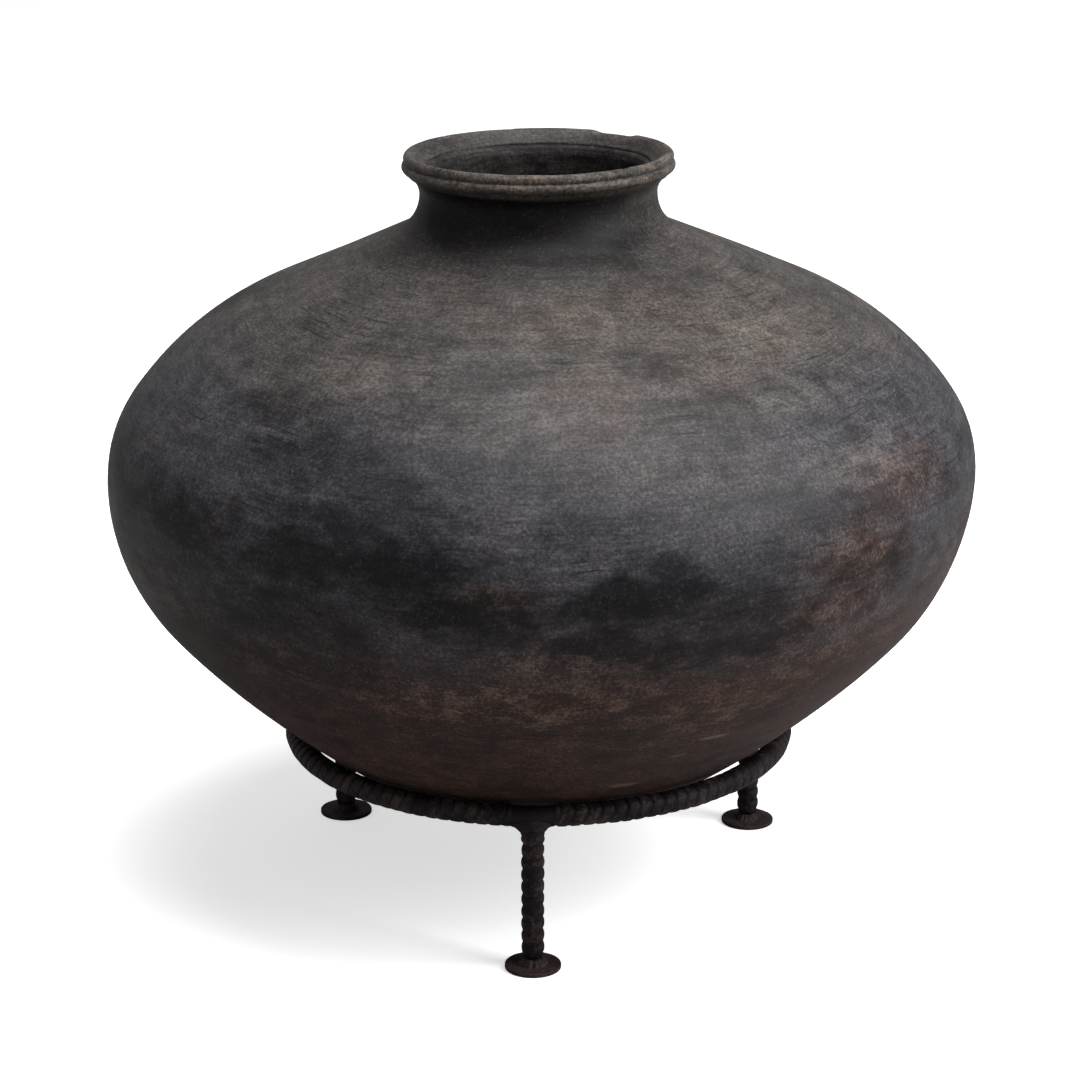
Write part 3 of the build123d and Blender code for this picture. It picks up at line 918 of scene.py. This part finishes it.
def smoked_clay(finish):
    """Burnished, unglazed clay, clouded by the smoke of its firing."""
    material, tree, shader = new_material("Smoked clay", finish.shine)
    place = tree.node("ShaderNodeTexCoord").outputs["Object"]
    x, y, height = tree.split(place)
    level = tree.joined(x, y, 0)
    radius = tree.vector("LENGTH", level)
    facing = tree.vector("NORMALIZE", level)
    inside = own_value(tree, "inside")
    clouds, streaks = cloud_group(), streak_group()

    def cloud(name, tear):
        """The torn mask of the clouds stored under that name."""
        stored = tree.node("ShaderNodeAttribute", attribute_name=name).outputs["Vector"]
        return placed_group(tree, clouds, {"Cloud": stored, "Tear": tear})["Mask"]

    add, mul, ramp, centred = tree.add, tree.mul, tree.ramp, tree.centred
    wander = mul(tree.noise(place, 6.0, 0.0), 0.030)
    waver = mul(tree.noise(place, 28.0, 1.0), 0.007)
    rise = add(own_value(tree, "along"), wander, waver)

    def streak(fineness, stretch, seed):
        """Burnishing streaks of that fineness up the wall and stretch round it."""
        inputs = {"Vector": place, "Rise": rise, "Fineness": fineness}
        inputs.update({"Stretch": stretch, "Seed": seed})
        return placed_group(tree, streaks, inputs)["Value"]

    def blended(colour, mask, other):
        return tree.mixed(mask, colour, (*other, 1))

    banded = tree.vector("MULTIPLY", place, (1.0, 1.0, 2.2))
    broad = tree.noise(banded, 6.0, 3.0, 0.58, 0.5)
    blotch = tree.noise(banded, 17.0, 5.0, 0.66, 0.3)
    mottle = tree.noise(tree.vector("MULTIPLY", place, (1.0, 1.0, 1.5)), 55.0, 4.0, 0.70)
    grain = tree.noise(place, 480.0, 2.0, 0.80)
    torn = add(centred(blotch, 0.44), centred(mottle, 0.30))
    long_streak = streak(190.0, 9.0, 0.0)
    short_streak = streak(420.0, 26.0, 5.0)
    fine_streak = streak(900.0, 40.0, 9.0)

    # Warm on the shoulder, cool round the belly, brown low down where air got in.
    low = ramp(add(height, centred(blotch, 0.040)), 0.190, 0.285, 1, 0)
    shoulder = ramp(add(height, centred(broad, 0.045)), 0.335, 0.400)
    colour = tree.mixed(shoulder, (*finish.cool, 1), (*finish.warm, 1))
    # Pale shoulder patches: partly pale clay, partly a painted highlight where the light falls.
    dusty_and_highlight = mul(cloud("dust_and_highlight", torn), ramp(mottle, 0.25, 0.65))
    colour = blended(colour, dusty_and_highlight, finish.dusty_and_highlight)
    stains = mul(ramp(blotch, 0.52, 0.66), ramp(broad, 0.40, 0.60), 0.30)
    browned = cloud("brown", torn)
    brown = tree.peak(browned, low, stains)
    colour = blended(colour, brown, finish.brown)
    baked = mul(browned, ramp(add(mottle, centred(grain, 0.2)), 0.42, 0.70))
    colour = blended(colour, mul(baked, 0.30), finish.tan)

    # Smoke: placed clouds, a torn band below the girth, the neck, the base and the inside. The
    # neck's dark is partly painted shadow under the lip, the base's is partly painted shade, and
    # the funnel's top is painted shade.
    girdle = tree.math("ABSOLUTE", tree.sub(height, 0.270))
    girdle = add(girdle, centred(broad, 0.030), centred(blotch, 0.030))
    girdle = mul(ramp(girdle, 0.004, 0.036, 1, 0), ramp(broad, 0.36, 0.56), 0.55)
    front = tree.vector("DOT_PRODUCT", facing, ring_point(radians(SOOT_AND_SHADE_SIDE), 1.0))
    front = ramp(add(front, centred(blotch, 0.5)), 0.15, 0.85)
    # The neck under the lip: partly soot, partly painted shadow of the lip, strongest on the front
    # left.
    neck = ramp(add(height, centred(blotch, 0.016)), 0.410, 0.438)
    under_lip = ramp(height, 0.4630, 0.4665, 1, 0)
    neck = mul(neck, under_lip, tree.math("MULTIPLY_ADD", front, 0.84, 0.14))
    # Darker towards the bottom: partly soot, partly painted shade standing in for the dim light
    # under the pot.
    base = ramp(add(height, centred(blotch, 0.030)), 0.075, 0.130, 0.75, 0)
    sooty = mul(inside, ramp(blotch, 0.36, 0.58, 0.08, 0.92))
    # Painted shade on the top of the funnel, inside the lip.
    funnel = mul(ramp(height, 0.4660, 0.4700), ramp(radius, 0.0790, 0.0770), 0.30)
    charred = mul(ramp(blotch, 0.47, 0.62), low, 0.62)
    # The dark mask: smoke stains, with the painted shade of the neck, the base and the funnel.
    dark = tree.peak(cloud("smoke", torn), girdle, neck, base, sooty, funnel, charred)
    colour = blended(colour, dark, finish.soot)

    # Each pattern lightens and darkens: its half spread about the middle, and its strength.
    patterns = (
        (blotch, 0.18, 0.22),
        (mottle, 0.20, 0.28),
        (long_streak, 0.20, 0.14),
        (fine_streak, 0.22, 0.18),
        (grain, 0.20, 0.42),
    )
    for value, spread, strength in patterns:
        level = ramp(value, 0.5 - spread, 0.5 + spread, 1 - strength, 1 + strength)
        colour = tree.mixed(1.0, colour, tree.joined(level, level, level), "MULTIPLY")
    # The clay's own grit shows paler through the smoke and the painted shade.
    clean = tree.math("MULTIPLY_ADD", dark, -0.60, 1.0)
    grit = mul(ramp(grain, 0.56, 0.76), ramp(mottle, 0.30, 0.60), clean, 0.26)
    colour = blended(colour, grit, finish.tan)

    # Where the stone pressed hard the clay is dark; elsewhere it hardly marked.
    pressed = ramp(tree.noise(banded, 11.0, 2.0, 0.6), 0.46, 0.62)
    dashes = mul(ramp(short_streak, 0.56, 0.68), pressed, 0.66)
    colour = blended(colour, dashes, finish.soot)
    rubbed = mul(ramp(short_streak, 0.42, 0.30), ramp(mottle, 0.50, 0.62), clean, 0.30)
    colour = blended(colour, rubbed, finish.dusty_and_highlight)

    # The beads of the lip are worn back to bare clay, most of all at the front right.
    side = tree.vector("DOT_PRODUCT", facing, ring_point(radians(WORN_SIDE), 1.0))
    side = ramp(side, -0.6, 0.8, 0.08, 1.0)
    beads = mul(ramp(height, 0.4610, 0.4630), ramp(radius, 0.0792, 0.0812))
    worn = ramp(add(mul(mottle, 0.4), mul(grain, 0.6)), 0.42, 0.62)
    worn = mul(worn, beads, side, 0.34)
    colour = blended(colour, worn, finish.tan)

    specks = ramp(tree.cells(place, 430.0), 0.10, 0.22, 1, 0)
    specks = mul(specks, ramp(tree.noise(place, 130.0, 1.0), 0.56, 0.62))
    pale, one_scrape = mul(specks, clean, 0.50), scrape_group()
    for angle, up, long, thick, depth in SCRAPES:
        inputs = {"Vector": place, "Facing": ring_point(radians(angle), 1.0), "Height": up}
        inputs.update({"Length": long, "Thickness": thick, "Tear": centred(grain, 0.9)})
        scrape = placed_group(tree, one_scrape, inputs)["Mask"]
        scrape = mul(scrape, ramp(fine_streak, 0.30, 0.55), depth)
        pale = tree.peak(pale, scrape)
    colour = blended(colour, pale, finish.tan)

    # Pits, and short cracks where the skin crazed.
    pits = ramp(tree.cells(tree.vector("ADD", place, (3, 1, 2)), 300.0), 0.07, 0.14, 1, 0)
    pits = mul(pits, ramp(tree.noise(place, 70.0, 1.0), 0.53, 0.59))
    bent = tree.vector("ADD", banded, tree.scaled(tree.joined(mottle, grain, blotch), 0.012))
    crazed = ramp(tree.cells(bent, 95.0, "DISTANCE_TO_EDGE"), 0.012, 0.045, 1, 0)
    crazed = mul(crazed, ramp(mottle, 0.55, 0.62), ramp(broad, 0.48, 0.60))
    marks = tree.peak(pits, crazed)
    colour = blended(colour, mul(marks, 0.75), finish.soot)
    tree.feed(shader.inputs["Base Color"], colour)

    rough = add(centred(fine_streak, 0.10), finish.shine, centred(mottle, 0.10))
    rough = add(rough, mul(tree.peak(inside, brown), 0.14))
    tree.feed(shader.inputs["Roughness"], rough)
    relief = add(mul(fine_streak, 0.40), mul(mottle, 0.50), mul(grain, 0.40))
    relief = add(relief, mul(pits, -0.60))
    bump = tree.node("ShaderNodeBump", {"Strength": 0.5, "Distance": 0.0006, "Height": relief})
    tree.feed(shader.inputs["Normal"], bump.outputs["Normal"])
    shader.inputs["Specular IOR Level"].default_value = 0.14
    return material


def rusted(name, finish, rust, crest, wear, depth=0.0003):
    """Rusted steel, with its high spots dusted pale and given a painted highlight."""
    material, tree, shader = new_material(name)
    place = tree.node("ShaderNodeTexCoord").outputs["Object"]
    group = bpy.data.node_groups.get("Rust") or rust_group()
    inputs = {
        "Vector": place,
        "Crest": own_value(tree, crest) if crest else 0.75,
        "Scale Colour": (*finish.scale, 1),
        "Rust Colour": (*finish.rust, 1),
        "Pale Colour": (*finish.pale, 1),
        "Rust": rust,
        "Wear": wear,
    }
    made = placed_group(tree, group, inputs)
    tree.feed(shader.inputs["Base Color"], made["Color"])
    tree.feed(shader.inputs["Roughness"], made["Roughness"])
    tree.feed(shader.inputs["Metallic"], tree.mul(made["Bare"], 0.20))
    shader.inputs["Specular IOR Level"].default_value = 0.18
    inputs = {"Strength": 0.6, "Distance": depth, "Height": made["Height"]}
    bump = tree.node("ShaderNodeBump", inputs)
    tree.feed(shader.inputs["Normal"], bump.outputs["Normal"])
    return material


# ---------------------------------------------------------------- operators


class BuildStep(bpy.types.Operator):
    """One step of the build."""

    bl_options = {"REGISTER", "UNDO"}

    @property
    def settings(self):
        return bpy.context.scene.clay_pot


class CLAYPOT_OT_pot(BuildStep):
    """Spins the pot's wall from its outline and gives it its handmade shape"""

    bl_idname = "claypot.pot"
    bl_label = "Pot"

    def execute(self, context):
        sizes = self.settings.pot
        outline, outside_count = pot_outline(sizes)
        # Each point knows how far along the outline it lies, and whether it is inside the pot.
        steps = [hypot(b[0] - a[0], b[1] - a[1]) for a, b in zip(outline, outline[1:])]
        inside = [0.0 if i < outside_count else 1.0 for i in range(len(outline))]
        values = {"along": [0.0, *accumulate(steps)], "inside": inside}
        source = point_source("outline", [(x, 0, z) for x, z in outline], values)
        clay = smoked_clay(self.settings.clay)
        spin = {"Segments": sizes.segments, "Material": clay}
        hand = {**by_name(self.settings.making), "Neck height": LIP_TOP - 0.026}
        hand["Lip height"] = LIP_TOP
        trees = [
            (spun_outline_tree(), spin),
            (hand_finish_tree(list(hand)), {**hand, "Material": clay}),
        ]
        pot = grown("clay_pot", source, trees)
        for name, patches in CLOUDS.items():
            store_clouds(pot.data, name, patches)
        settled(pot, "pot", "smoked_clay", "pot")
        return {"FINISHED"}


def upright(height):
    """A point at that height on the axis."""
    return Vector((0, 0, height))


def ring_point(angle, radius, height=0.0):
    """A point at that direction in radians from the ring's axis."""
    return Vector((radius * cos(angle), radius * sin(angle), height))


class CLAYPOT_OT_bars(BuildStep):
    """Runs the ribbed bar round the ring and down the legs"""

    bl_idname = "claypot.bars"
    bl_label = "Ring and legs"

    def execute(self, context):
        bar = self.settings.bar
        iron = rusted("Rusted bar", self.settings.iron, 0.42, "crest", 0.55)
        butt = radians(BUTT_ANGLE)
        angles = [leg_angle(place) for place in PLACES] + [butt]
        spots = [ring_point(angle, RING_RADIUS, RING_HEIGHT) for angle in angles]
        for place in PLACES:
            spots += [leg_foot(place), leg_foot(place) + upright(LEG_TOP - 0.002)]
        marks = point_source("weld_marks", spots)
        numbers = {**by_name(bar), "Core radius": RIB_TOP_RADIUS - bar.rib}
        # The ribs are flat-topped on the ring and rounder on the legs, and fade near the welds.
        on_ring = {**numbers, "Weld reach": 0.012, "Spine turn": 0.1, "Rib flatness": 4.5}
        on_leg = {**numbers, "Weld reach": 0.0065, "Spine turn": 0.25, "Rib flatness": 2.3}
        on_leg["Rib slant"] = 0.0004
        tree = ribbed_bar_tree([name for name in on_ring if name != "Around"])
        common = {"Weld points": marks, "Material": iron}

        turns = [butt + 2 * pi * i / RING_CORNERS for i in range(RING_CORNERS)]
        loop = [ring_point(angle, RING_RADIUS, RING_HEIGHT) for angle in turns]
        path = path_source("ring_path", loop, True)
        ring = grown("ring_bar", path, [(tree, {**on_ring, **common})])
        settled(ring, "stand", "rusted_bar", "ring")
        for number, place in enumerate(PLACES):
            ends = [leg_foot(place) + upright(height) for height in (0.0003, LEG_TOP)]
            values = {**on_leg, **common, "Seed": bar.seed + number}
            leg = grown(f"leg_bar_{place}", path_source("leg_path", ends), [(tree, values)])
            settled(leg, "stand", "rusted_bar", f"leg_{place}")
        bpy.data.objects.remove(marks)
        return {"FINISHED"}


class CLAYPOT_OT_washers(BuildStep):
    """Spins the three washers used as feet"""

    bl_idname = "claypot.washers"
    bl_label = "Foot washers"

    def execute(self, context):
        washer = self.settings.washer
        tree = bpy.data.node_groups["Spun outline"]
        iron = rusted("Rusted washer", self.settings.iron, 0.66, None, 1.0)
        outer, hole, thick, edge = WASHER_RADIUS, washer.hole, WASHER_THICKNESS, washer.edge
        low_edge, fine = edge * 0.5, 0.0002
        outline = [(hole, fine)]
        outline += circle_points((outer - low_edge, low_edge), low_edge, radians(-90), 0, fine)
        top = (outer - edge, thick - washer.dish - edge)
        outline += circle_points(top, edge, 0, radians(90), fine)
        outline += [(outer - 0.003, thick - washer.dish * 0.6), (hole + 0.004, thick)]
        outline += [(hole + 0.0005, thick), (hole, thick - 0.0005), (hole, fine)]
        for number, place in enumerate(PLACES):
            source = point_source("washer_outline", [(x, 0, z) for x, z in outline])
            values = {"Segments": 96, "Centre": leg_foot(place), "Material": iron}
            piece = grown(f"washer_{place}", source, [(tree, values)])
            roughen(piece, 0.00012, 180.0, number, keep_below=0.0004)
            settled(piece, "stand", "rusted_washer", f"foot_washer_{place}")
        return {"FINISHED"}


def roughen(piece, depth, scale, seed, keep_below):
    """Moves a mesh's points a little, in and out along their normals."""
    mesh = piece.data
    offset = Vector((seed * 7.3, 0, 0))
    moves = []
    for vertex in mesh.vertices:
        level = noise.fractal(vertex.co * scale + offset, 0.8, 2.0, 3)
        moves.append(vertex.normal * level * depth)
    for vertex, move in zip(mesh.vertices, moves):
        if vertex.co.z > keep_below:
            vertex.co += move
    mesh.update()


def sheet_mesh(name, rows, material, crests):
    """A closed mesh from rows of points that each run right round, with both ends capped.

    Each row has one value of the crest attribute, which the rust reads.
    """
    made = bmesh.new()
    grid = [[made.verts.new(point) for point in row] for row in rows]
    for lower, upper in zip(grid, grid[1:]):
        for i in range(len(lower)):
            j = (i + 1) % len(lower)
            made.faces.new((lower[i], lower[j], upper[j], upper[i]))
    for row in (grid[0], grid[-1]):
        centre = made.verts.new(sum((v.co for v in row), Vector()) / len(row))
        for i in range(len(row)):
            made.faces.new((row[i], row[(i + 1) % len(row)], centre))
    bmesh.ops.recalc_face_normals(made, faces=made.faces)
    mesh = bpy.data.meshes.new(name)
    made.to_mesh(mesh)
    made.free()
    mesh.shade_smooth()
    mesh.materials.append(material)
    values = [crest for row, crest in zip(rows, crests) for _ in row]
    values += [crests[0], crests[-1]]
    mesh.attributes.new("crest", "FLOAT", "POINT").data.foreach_set("value", values)
    return shown(name, mesh)


def bezier(start, pull, end, t):
    """A point on a curve that leaves the start and reaches the end in line with pull."""
    return start * (1 - t) ** 2 + pull * (2 * t * (1 - t)) + end * t**2


def woven(levels, around, point):
    """Rows of points, each from how far up it lies, from 0 to 1, and its angle round."""
    angles = [2 * pi * i / around for i in range(around)]
    return [[point(level / levels, phi) for phi in angles] for level in range(levels + 1)]


def leg_weld_rows(place, welds, core, seed):
    """Rows of points up a leg's weld, from inside the leg to inside the ring."""
    angle = leg_angle(place)
    out, foot = ring_point(angle, 1.0), leg_foot(place)
    side = Vector((-out.y, out.x, 0))
    under_ring = ring_point(angle, RING_RADIUS)

    def point(t, phi):
        across, beside = sin(phi), cos(phi)
        normal = side * beside + out * across
        # The left of each weld runs on a little further than the right.
        uneven = 1.0 - 0.12 * beside + 0.05 * noise.noise((beside * 2, across * 2, seed))
        reach = beside * welds.reach * uneven
        low = LEG_TOP - welds.drop + 0.0012 * noise.noise((beside, across, seed + 5))
        start = foot + normal * (core + 0.0001) + upright(low)
        # The ring bends away from the tangent that the weld runs along.
        bend = reach**2 / (2 * RING_RADIUS)
        lean, skin = radians(78) * across, core + 0.00015
        end = under_ring + upright(RING_HEIGHT - skin * cos(lean))
        end += out * (skin * sin(lean) - bend) + side * (reach * abs(beside) ** 0.3)
        pull = Vector((start.x, start.y, min(end.z, RING_HEIGHT - core))) - out * (bend * 0.2)
        made = bezier(start, pull, end, t)
        collar = welds.collar * sin(pi * min(t / 0.24, 1.0))
        toe = 0.0005 * sin(pi * min(max((t - 0.8) / 0.2, 0), 1))
        rough = welds.ripple * noise.fractal(made * 520 + Vector((seed, 0, 0)), 0.9, 2.0, 3)
        beat = t * 26 + 1.5 * noise.noise((beside * 3, across * 3, seed + 9))
        rib = welds.ripple * 0.8 * sin(beat)
        swell = collar + rough * sin(pi * t) + rib * sin(pi * t) ** 2
        return made + normal.normalized() * swell - upright(toe)

    rows = woven(22, 72, point)
    inner_low = [foot + (p - foot) * 0.55 for p in rows[0]]
    for p, q in zip(inner_low, rows[0]):
        p.z = q.z + 0.0006
    middle = under_ring + upright(RING_HEIGHT)
    return [inner_low, *rows, [p.lerp(middle, 0.45) for p in rows[-1]]]


class CLAYPOT_OT_welds(BuildStep):
    """Lays the welds between the ring, the legs and the washers"""

    bl_idname = "claypot.welds"
    bl_label = "Welds"

    def execute(self, context):
        iron = rusted("Weld metal", self.settings.iron, 0.52, "crest", 0.7, 0.0004)
        rib = self.settings.bar.rib
        core = RIB_TOP_RADIUS - rib

        def laid(name, node, rows, crests):
            settled(sheet_mesh(name, rows, iron, crests), "stand", "weld_bead", node)

        for number, place in enumerate(PLACES):
            rows = leg_weld_rows(place, self.settings.weld, core, number * 3.1)
            # The last pass round the leg is the palest: most pale dust and painted highlight.
            crests = [0.95 if 1 < i < 7 else 0.62 for i in range(len(rows))]
            laid(f"weld_leg_{place}", f"leg_weld_{place}", rows, crests)
            rows = self.foot_rows(place, core, number)
            laid(f"weld_foot_{place}", f"foot_weld_{place}", rows, [0.85] * len(rows))
        rows = self.butt_rows(core, rib)
        laid("weld_butt", "ring_butt_weld", rows, [0.7] * len(rows))
        return {"FINISHED"}

    def foot_rows(self, place, core, seed):
        """Rows up the hollow bead round a leg's base, with its inner end in the washer's hole."""
        welds, hole, top = self.settings.weld, self.settings.washer.hole, WASHER_THICKNESS
        foot = leg_foot(place)
        around = 64

        def point(t, phi):
            out = ring_point(phi, 1.0)
            uneven = 1 + 0.22 * noise.noise((cos(phi) * 1.7, sin(phi) * 1.7, seed * 4.0))
            start = out * (hole + welds.foot_width * uneven) + upright(top - 0.0002)
            pull = out * (core + 0.0022) + upright(top + 0.0012)
            end = out * (core - 0.0001) + upright(top + welds.foot_height * uneven)
            made = foot + bezier(start, pull, end, t)
            beat = phi * 17 + 2 * noise.noise((cos(phi) * 2, sin(phi) * 2, seed))
            rough = welds.ripple * noise.fractal(made * 600, 0.9, 2.0, 3)
            return made + (out + upright(0.6)) * (0.00035 * sin(beat) + rough) * sin(pi * t)

        angles = [2 * pi * i / around for i in range(around)]
        hidden = [foot + ring_point(phi, core - 0.0006, 0.0008) for phi in angles]
        return [hidden, *woven(10, around, point)]

    def butt_rows(self, core, rib):
        """Rows along the bead that joins the ring's two ends."""
        half = 0.0042

        def point(t, psi):
            along = t * 2 - 1
            edge = 1 + 0.18 * noise.noise((cos(psi) * 1.5, sin(psi) * 1.5, along))
            angle = radians(BUTT_ANGLE) + along * half * edge / RING_RADIUS
            ripple = 0.12 * sin(along * 15 + psi * 0.5)
            radius = core - 0.00025 + rib * (1 - along**4) * (0.82 + ripple)
            return ring_point(
                angle, RING_RADIUS + radius * cos(psi), RING_HEIGHT + radius * sin(psi)
            )

        return woven(22, 48, point)


class CLAYPOT_OT_stage(BuildStep):
    """Sets the pale floor, the soft lights and the camera"""

    bl_idname = "claypot.stage"
    bl_label = "Stage"

    def execute(self, context):
        stage = self.settings.stage
        bpy.context.scene.view_settings.view_transform = "Standard"
        self.camera(stage)
        self.floor(stage)
        target = upright(0.27)
        lamp("key_light", (2.2, -0.9, 1.7), target, (1.4, 1.8), stage.key)
        lamp("fill_light", (-2.1, -1.4, 1.0), target, (1.2, 1.8), stage.fill)
        lamp("top_light", (0.3, -0.3, 2.6), target, (1.8, 1.8), stage.top)
        world = bpy.data.worlds.new("Pale room")
        bpy.context.scene.world = world
        world.use_nodes = True
        tree = Tree(world.node_tree)
        room = world.node_tree.nodes["Background"]
        room.inputs["Color"].default_value = WHITE
        seen = tree.node("ShaderNodeLightPath").outputs["Is Camera Ray"]
        strength = tree.add(tree.mul(seen, 1 - stage.sky), stage.sky)
        tree.feed(room.inputs["Strength"], strength)
        return {"FINISHED"}

    def camera(self, stage):
        data = bpy.data.cameras.new("camera")
        data.lens, data.sensor_width = stage.lens, 36.0
        data.clip_start, data.clip_end = 0.05, 50
        camera = shown("camera", data)
        camera.location = (0.001, -stage.camera_distance, stage.camera_height)
        camera.rotation_euler = Euler((radians(90) - stage.camera_pitch, 0, 0))
        bpy.context.scene.camera = camera

    def floor(self, stage):
        mesh = bpy.data.meshes.new("floor")
        far = FLOOR_REACH
        corners = [(-far, -far, 0), (far, -far, 0), (far, far, 0), (-far, far, 0)]
        mesh.from_pydata(corners, [], [(0, 1, 2, 3)])
        material, tree, shader = new_material("Pale floor", 0.8)
        # Seen straight on the floor is white; the light that it sends up at the pot is weaker.
        seen = tree.node("ShaderNodeLightPath").outputs["Is Camera Ray"]
        tint = tree.ramp(seen, 0.0, 1.0, stage.floor_bounce, 0.92)
        tree.feed(shader.inputs["Base Color"], tree.joined(tint, tint, tint))
        shader.inputs["Emission Color"].default_value = WHITE
        tree.feed(shader.inputs["Emission Strength"], tree.mul(seen, stage.floor_glow))
        shader.inputs["Specular IOR Level"].default_value = 0.1
        mesh.materials.append(material)
        shown("floor", mesh)


def lamp(name, place, target, size, power):
    """A rectangular soft light aimed at the target."""
    data = bpy.data.lights.new(name, "AREA")
    data.shape = "RECTANGLE"
    data.size, data.size_y = size
    data.energy = power
    made = shown(name, data)
    made.location = place
    made.rotation_euler = (target - Vector(place)).to_track_quat("-Z", "Y").to_euler()


# ---------------------------------------------------------------- the add-on


class ClayPotSettings(bpy.types.PropertyGroup):
    """Everything the build reads."""

    pot: PointerProperty(type=PotSizes)
    making: PointerProperty(type=PotMaking)
    bar: PointerProperty(type=BarSizes)
    weld: PointerProperty(type=WeldSizes)
    washer: PointerProperty(type=WasherSizes)
    clay: PointerProperty(type=ClayFinish)
    iron: PointerProperty(type=IronFinish)
    stage: PointerProperty(type=StageSettings)


OPERATORS = (
    CLAYPOT_OT_stage,
    CLAYPOT_OT_pot,
    CLAYPOT_OT_bars,
    CLAYPOT_OT_washers,
    CLAYPOT_OT_welds,
)


class CLAYPOT_PT_panel(bpy.types.Panel):
    """Lists the build's steps"""

    bl_label = "Clay pot"
    bl_idname = "CLAYPOT_PT_panel"
    bl_space_type = "VIEW_3D"
    bl_region_type = "UI"
    bl_category = "Clay Pot"

    def draw(self, context):
        for operator in OPERATORS:
            self.layout.operator(operator.bl_idname)


CLASSES = (
    PotSizes,
    PotMaking,
    BarSizes,
    WeldSizes,
    WasherSizes,
    ClayFinish,
    IronFinish,
    StageSettings,
    ClayPotSettings,
    *OPERATORS,
    CLAYPOT_PT_panel,
)


def register():
    for made in CLASSES:
        bpy.utils.register_class(made)
    bpy.types.Scene.clay_pot = PointerProperty(type=ClayPotSettings)


def unregister():
    del bpy.types.Scene.clay_pot
    for made in reversed(CLASSES):
        bpy.utils.unregister_class(made)


def main():
    register()
    for operator in OPERATORS:
        group, step = operator.bl_idname.split(".")
        getattr(getattr(bpy.ops, group), step)()


if __name__ == "__main__":
    main()
